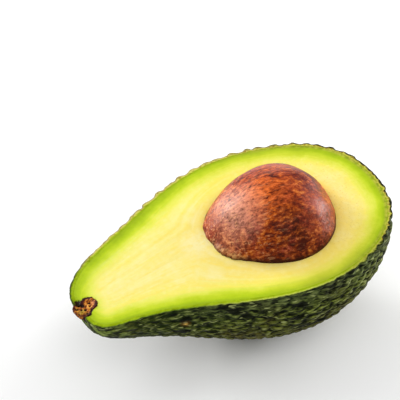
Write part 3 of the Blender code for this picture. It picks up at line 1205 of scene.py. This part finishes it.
# The seed's two mottled ground colours and the tones over them, some of which paint light, highlight and
# shade.
SEED_RUST = (
    (0.36, 72, 12, 0), (0.45, 140, 40, 1), (0.53, 196, 82, 8), (0.64, 244, 146, 56),
)
SEED_MAROON = (
    (0.36, 56, 6, 3), (0.46, 108, 22, 10), (0.55, 164, 54, 28), (0.66, 220, 112, 80),
)
# Dark fibres near the stem end, and painted shade on the seed's lower near side.
SEED_DARK_AND_SHADE = srgb(50, 10, 1)
# The coat's orange, partly painted light where the top is lit.
SEED_ORANGE_AND_LIGHT = srgb(250, 124, 44)
SEED_CROWN = srgb(84, 14, 10)
# Partly painted highlight: a pale pink where the left highlight falls, also the coat's paler papery look.
SEED_PINK_AND_HIGHLIGHT = srgb(240, 170, 142)
# Partly painted highlight: a reddish blush that lightens the dark flecks where the right highlight falls.
SEED_BLUSH_AND_HIGHLIGHT = srgb(150, 60, 38)
SEED_CRIMSON = srgb(150, 50, 34)
SEED_FIBRE = srgb(240, 168, 116)
# Painted shadow: a thin dark line where the seed meets the flesh on the near side.
SEED_WATERLINE_SHADOW = srgb(46, 16, 4)
SEED_TAN = srgb(206, 148, 88)
SEED_SHEEN = (1.0, 0.74, 0.62, 1.0)
SEED_STRETCH = (0.6, 1.0, 1.0)
FIBRE_STRETCH = (0.22, 1.0, 1.0)
# How high above the cut the painted shade low on the seed's near side reaches.
LOW_SHADE_HEIGHT = 0.01

# Each broad patch of the seed as (place, size, tone, mottle where it begins, where it is full, amount).
SEED_PATCHES = (
    # painted shade: a dark patch low on the near side towards the blossom end
    ((0.0060, -0.0150, 0.0150), 0.0150, SEED_DARK_AND_SHADE, 0.72, 0.47, 1.0),
    ((0.0128, 0.0020, 0.0182), 0.0120, SEED_CROWN, 0.74, 0.48, 1.0),
    # partly painted light: the top of the seed brighter orange
    ((-0.0015, -0.0022, 0.0208), 0.0115, SEED_ORANGE_AND_LIGHT, 0.38, 0.58, 0.85),
    # partly painted highlight: a reddish blush where the right highlight falls
    ((0.0150, -0.0090, 0.0120), 0.0120, SEED_BLUSH_AND_HIGHLIGHT, 0.30, 0.50, 0.88),
    # partly painted highlight: a pale pink patch where the left highlight falls
    ((-0.0120, -0.0035, 0.0155), 0.0130, SEED_PINK_AND_HIGHLIGHT, 0.31, 0.54, 0.95),
    ((-0.0190, -0.0015, 0.0100), 0.0095, SEED_CRIMSON, 0.34, 0.50, 0.95),
)


def seed_looks(tree):
    own = vector(tree, "own")
    above = number(tree, "above")
    towards_stem = spread(coordinate(own, "X"), 0.004, -0.014)
    towards_near = spread(coordinate(own, "Y"), 0.002, -0.01)
    broad = speckle(own, 0.006, 4.0, 0.6, 0.5)
    long = stretched(own, SEED_STRETCH)
    blotch = speckle(long, 0.0034, 2.0, 0.5, 0.4)
    grains = speckle(long, 0.001, 4.0, 0.7, 0.15)
    mottle = sum_of(product_of(grains, 0.68), product_of(blotch, 0.32))
    fibres = speckle(stretched(own, FIBRE_STRETCH), 0.0008, 4.0, 0.7, 0.4)
    # painted shade: the seed darker low down on its near side, close to the flesh
    low = product_of(spread(above, LOW_SHADE_HEIGHT, 0.001), spread(mottle, 0.6, 0.44, 0.34, 0.72))
    colour = mix(spread(broad, 0.42, 0.6), ramp(mottle, SEED_RUST), ramp(mottle, SEED_MAROON))
    patches = [(tone, near_to(own, spot, size), spread(mottle, begins, full), amount)
               for spot, size, tone, begins, full, amount in SEED_PATCHES]
    colour = washed(colour, (
        *patches,
        (SEED_DARK_AND_SHADE, low, towards_near),
        (SEED_FIBRE, spread(fibres, 0.54, 0.66), spread(towards_stem, 0.0, 1.0, 0.1, 0.8)),
        (SEED_DARK_AND_SHADE, spread(fibres, 0.44, 0.34, 0.0, 0.6), towards_stem),
        (SEED_TAN, spread(number(tree, "coat"), 0.05, 0.6), spread(fibres, 0.4, 0.56)),
        # painted shadow where the seed meets the flesh on the near side
        (SEED_WATERLINE_SHADOW, spread(above, 0.0002, 0.0012, 0.9, 0.0), towards_near),
    ))
    return {
        "Base Color": colour,
        "Roughness": spread(mottle, 0.3, 0.7, 0.28, 0.4),
        "Specular IOR Level": 0.16,
        "Specular Tint": SEED_SHEEN,
        "Normal": bumped(sum_of(fibres, mottle), 0.32),
    }


# The stub's wood and bark, and two tinted spots as (place, size, tone).
STEM_WOOD = (
    (0.38, 84, 28, 2), (0.48, 168, 84, 8), (0.56, 228, 148, 40), (0.66, 246, 202, 104),
)
STEM_BARK = (
    (0.34, 30, 5, 2), (0.50, 78, 20, 6), (0.70, 140, 62, 24),
)
# Painted shade: the dark colour put into the stub's pits.
STEM_PIT_SHADE = srgb(26, 8, 6)
STEM_STRETCH = (0.6, 1.0, 1.0)
STEM_SPOTS = (
    ((0.0010, -0.0004, 0.0), 0.0018, srgb(138, 122, 12)),
    ((0.0058, -0.0011, 0.0), 0.0015, srgb(216, 138, 92)),
)


def stem_looks(tree):
    own = vector(tree, "own")
    fibres = speckle(stretched(own, STEM_STRETCH), 0.0008, 4.0, 0.7)
    crumbs = spread(fibres, 0.38, 0.56, 0.35, 1.0)
    spots = [(tone, near_to(own, spot, size), crumbs) for spot, size, tone in STEM_SPOTS]
    ragged = roughened(number(tree, "bark"), speckle(own, 0.0007), 0.25)
    colour = washed(ramp(fibres, STEM_WOOD), (
        *spots,
        (ramp(fibres, STEM_BARK), spread(ragged, 0.14, 0.38)),
        # painted shade in the stub's pits
        (STEM_PIT_SHADE, spread(number(tree, "pit"), 0.3, 0.75)),
    ))
    return {
        "Base Color": colour,
        "Roughness": 0.65,
        "Specular IOR Level": 0.2,
        "Normal": bumped(fibres, 0.7),
    }


# Stage

LIGHT_AIM = Vector((0.0, 0.0, 0.03))
WORLD_BRIGHTNESS = 0.58
FLOOR_TONE = 0.96
FLOOR_REACH = 4.0

# Each light as (name, azimuth, elevation, distance, width, height, brightness).
SOFTBOXES = (
    ("back_left", -30.0, 40.0, 2.25, 1.75, 1.25, 1.8),
    ("right", 88.0, 30.0, 2.0, 1.25, 1.12, 2.2),
    ("front", 200.0, 55.0, 2.5, 2.0, 1.5, 1.1),
    ("glint_left", -23.0, 14.0, 2.25, 0.75, 0.65, 24.0),
    ("glint_right", 92.0, 9.0, 2.0, 0.65, 0.60, 27.0),
)


def floor_looks(tree):
    return {"Base Color": (FLOOR_TONE, FLOOR_TONE, FLOOR_TONE, 1.0), "Roughness": 0.9}


def stage_floor():
    mesh = bpy.data.meshes.new("floor")
    bm = bmesh.new()
    bmesh.ops.create_grid(bm, x_segments=1, y_segments=1, size=FLOOR_REACH)
    bm.to_mesh(mesh)
    bm.free()
    mesh.materials.append(new_material("floor_pale", floor_looks))
    floor = new_object("floor", mesh)


def softbox(name, azimuth, elevation, distance, width, height, brightness):
    """A soft light that faces the half, at degrees clockwise from +Y and above the floor."""
    data = bpy.data.lights.new(name, "AREA")
    data.shape = "RECTANGLE"
    data.size = width
    data.size_y = height
    data.energy = brightness * math.pi * width * height
    light = new_object(name, data)
    turn = math.radians(azimuth)
    tilt = math.radians(elevation)
    away = Vector((math.sin(turn) * math.cos(tilt), math.cos(turn) * math.cos(tilt), math.sin(tilt)))
    light.location = LIGHT_AIM + away * distance
    light.rotation_euler = away.to_track_quat("Z", "Y").to_euler()
    light.visible_camera = False


def lights():
    world = bpy.data.worlds.new("studio")
    world.use_nodes = True
    fill(world.node_tree.nodes["Background"], {"Color": (1.0, 1.0, 1.0, 1.0), "Strength": WORLD_BRIGHTNESS})
    bpy.context.scene.world = world
    for row in SOFTBOXES:
        softbox(*row)


def camera():
    data = bpy.data.cameras.new("camera")
    data.lens = CAMERA_LENS
    data.sensor_width = SENSOR_WIDTH
    data.clip_start = CLIP_START
    seen = new_object("camera", data)
    turn = Matrix.Rotation(-CAMERA_AZIMUTH, 4, "Z") @ Matrix.Rotation(math.pi / 2.0 - CAMERA_TILT, 4, "X")
    seen.matrix_world = Matrix.Translation(CAMERA_PLACE) @ turn @ Matrix.Rotation(CAMERA_ROLL, 4, "Z")
    bpy.context.scene.camera = seen


def build():
    for piece, name, looks in (
        (peel_piece(), "peel_skin", peel_looks),
        (flesh_piece(), "flesh_cut", flesh_looks),
        (seed_piece(), "seed_coat", seed_looks),
        (stem_piece(), "stem_wood", stem_looks),
    ):
        piece.data.materials.append(new_material(name, looks))
    stage_floor()
    lights()
    camera()
    bpy.context.scene.view_settings.view_transform = "Standard"


build()
